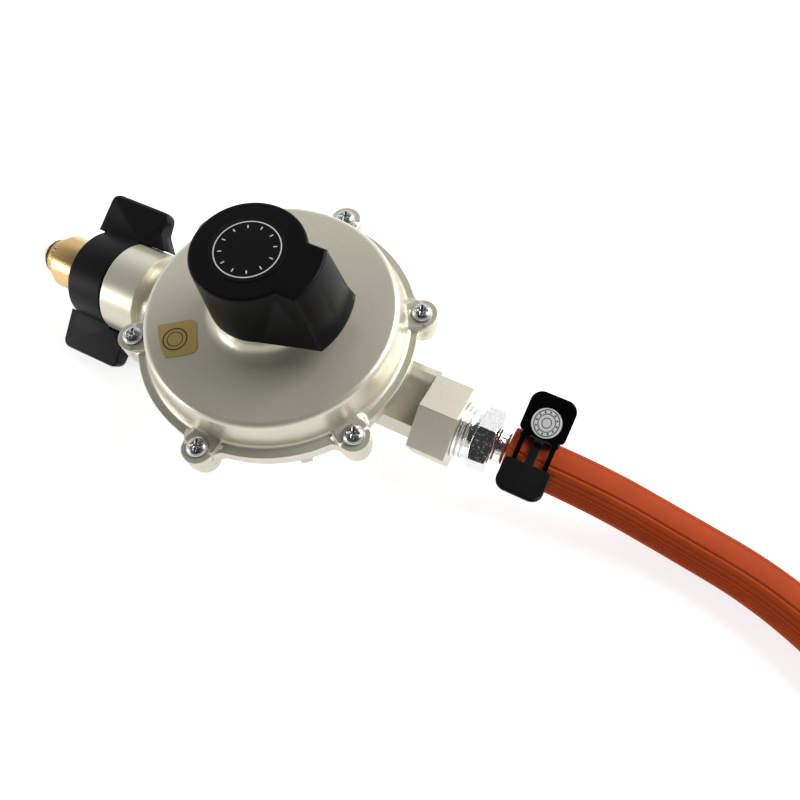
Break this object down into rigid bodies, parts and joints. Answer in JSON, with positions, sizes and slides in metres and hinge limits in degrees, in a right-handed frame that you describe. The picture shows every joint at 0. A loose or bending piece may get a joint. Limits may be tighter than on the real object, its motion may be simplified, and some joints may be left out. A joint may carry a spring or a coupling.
{
  "type": "gas regulator with hose",
  "caption": "Low-pressure gas regulator with a round diaphragm body, hooded vent cap, hand-tightened inlet grip, hex hose nipple, spring clip and a length of rubber hose.",
  "frame": {"origin": "centre of the back pad's face, on the axis of the diaphragm and its spring", "axes": "+X along the outlet towards the hose, +Z along the spring axis towards the vent cap, +Y across"},
  "size_m": [0.5349, 0.2118, 0.0853],
  "materials": {
    "body_paint": "cream metallic enamel",
    "black_plastic": "fine satin",
    "steel_screw": "zinc plated",
    "chrome_nipple": "polished",
    "brass_fitting": "turned",
    "spring_steel": "plain",
    "plate_steel": "pressed",
    "stem_alloy": "turned",
    "seal_rubber": "plain",
    "hose_rubber": "orange, lightly chalky",
    "clip_paint": "glossy black",
    "label_black": "printed film",
    "label_gold": "gold film",
    "label_silver": "silver film",
    "filter_brass": "sintered"
  },
  "bodies": {
    "body": {"cover_label": "label_gold", "cover_screw_1": "steel_screw", "cover_screw_2": "steel_screw", "cover_screw_3": "steel_screw", "cover_screw_4": "steel_screw", "cover_screw_5": "steel_screw", "cover_screw_6": "steel_screw", "diaphragm": "seal_rubber", "hose": "hose_rubber", "hose_coil": "hose_rubber", "hose_nipple": "chrome_nipple", "inlet_filter": "filter_brass", "inlet_nozzle": "brass_fitting", "inlet_spud": "brass_fitting", "lever_pin": "spring_steel", "lower_body": "body_paint", "main_spring": "spring_steel", "nipple_seal": "seal_rubber", "nose_seal": "seal_rubber", "upper_cover": "body_paint"},
    "stem": {"diaphragm_stem": "stem_alloy", "diaphragm_plate": "plate_steel", "relief_spring": "spring_steel", "relief_nut": "brass_fitting"},
    "lever_arm": {"lever": "plate_steel"},
    "valve": {"valve_plug": "brass_fitting", "valve_disc": "seal_rubber"},
    "seat": {"spring_seat": "plate_steel"},
    "adjuster": {"spring_adjuster": "stem_alloy"},
    "cap": {"vent_cap": "black_plastic", "cap_label": "label_black"},
    "coupling": {"stud_nut": "brass_fitting", "grip": "black_plastic", "snap_ring": "spring_steel"},
    "clip_near_half": {"clip_near": "clip_paint"},
    "clip_far_half": {"clip_far": "clip_paint", "clip_label": "label_silver"}
  },
  "joints": [
    {"name": "stem_lift", "type": "slide", "parent": "body", "child": "stem", "axis": [0, 0, 1], "range_m": [0, 0.0022], "stiffness_N_per_m": 1000, "springref_m": -0.002, "deforming": ["main_spring", "diaphragm"]},
    {"name": "lever_pivot", "type": "hinge", "parent": "body", "child": "lever_arm", "pos_m": [0.016, 0, 0.0295], "axis": [0, 1, 0], "range_deg": [-0.5, 8.5]},
    {"name": "valve_slide", "type": "slide", "parent": "body", "child": "valve", "axis": [1, 0, 0], "range_m": [-0.00152, 0.0001]},
    {"name": "seat_slide", "type": "slide", "parent": "body", "child": "seat", "axis": [0, 0, 1], "range_m": [-0.00405, 0], "deforming": ["main_spring"]},
    {"name": "adjuster_turn", "type": "hinge", "parent": "seat", "child": "adjuster", "pos_m": [0, 0, 0.07165], "axis": [0, 0, 1], "range_deg": [-960, 0]},
    {"name": "cap_lift", "type": "slide", "parent": "body", "child": "cap", "axis": [0, 0, 1], "range_m": [0, 0.026]},
    {"name": "grip_spin", "type": "hinge", "parent": "body", "child": "coupling", "pos_m": [-0.085, 0, 0.0188], "axis": [-1, 0, 0], "continuous": true},
    {"name": "clip_near_pinch", "type": "hinge", "parent": "body", "child": "clip_near_half", "pos_m": [0.1003, 0.00083, 0.00934], "axis": [-1, 0, 0], "range_deg": [0, 5], "stiffness_Nm_per_rad": 0.5, "springref_deg": -5.73},
    {"name": "clip_far_pinch", "type": "hinge", "parent": "body", "child": "clip_far_half", "pos_m": [0.1003, 0.00083, 0.00934], "axis": [-1, 0, 0], "range_deg": [-5, 0]}
  ],
  "couplings": [
    {"joint": "lever_pivot", "follows": "stem_lift", "rad_per_m": 62.5},
    {"joint": "valve_slide", "follows": "stem_lift", "ratio": -0.669},
    {"joint": "seat_slide", "follows": "adjuster_turn", "m_per_rad": 0.00023873},
    {"joint": "clip_far_pinch", "follows": "clip_near_pinch", "ratio": -1}
  ]
}
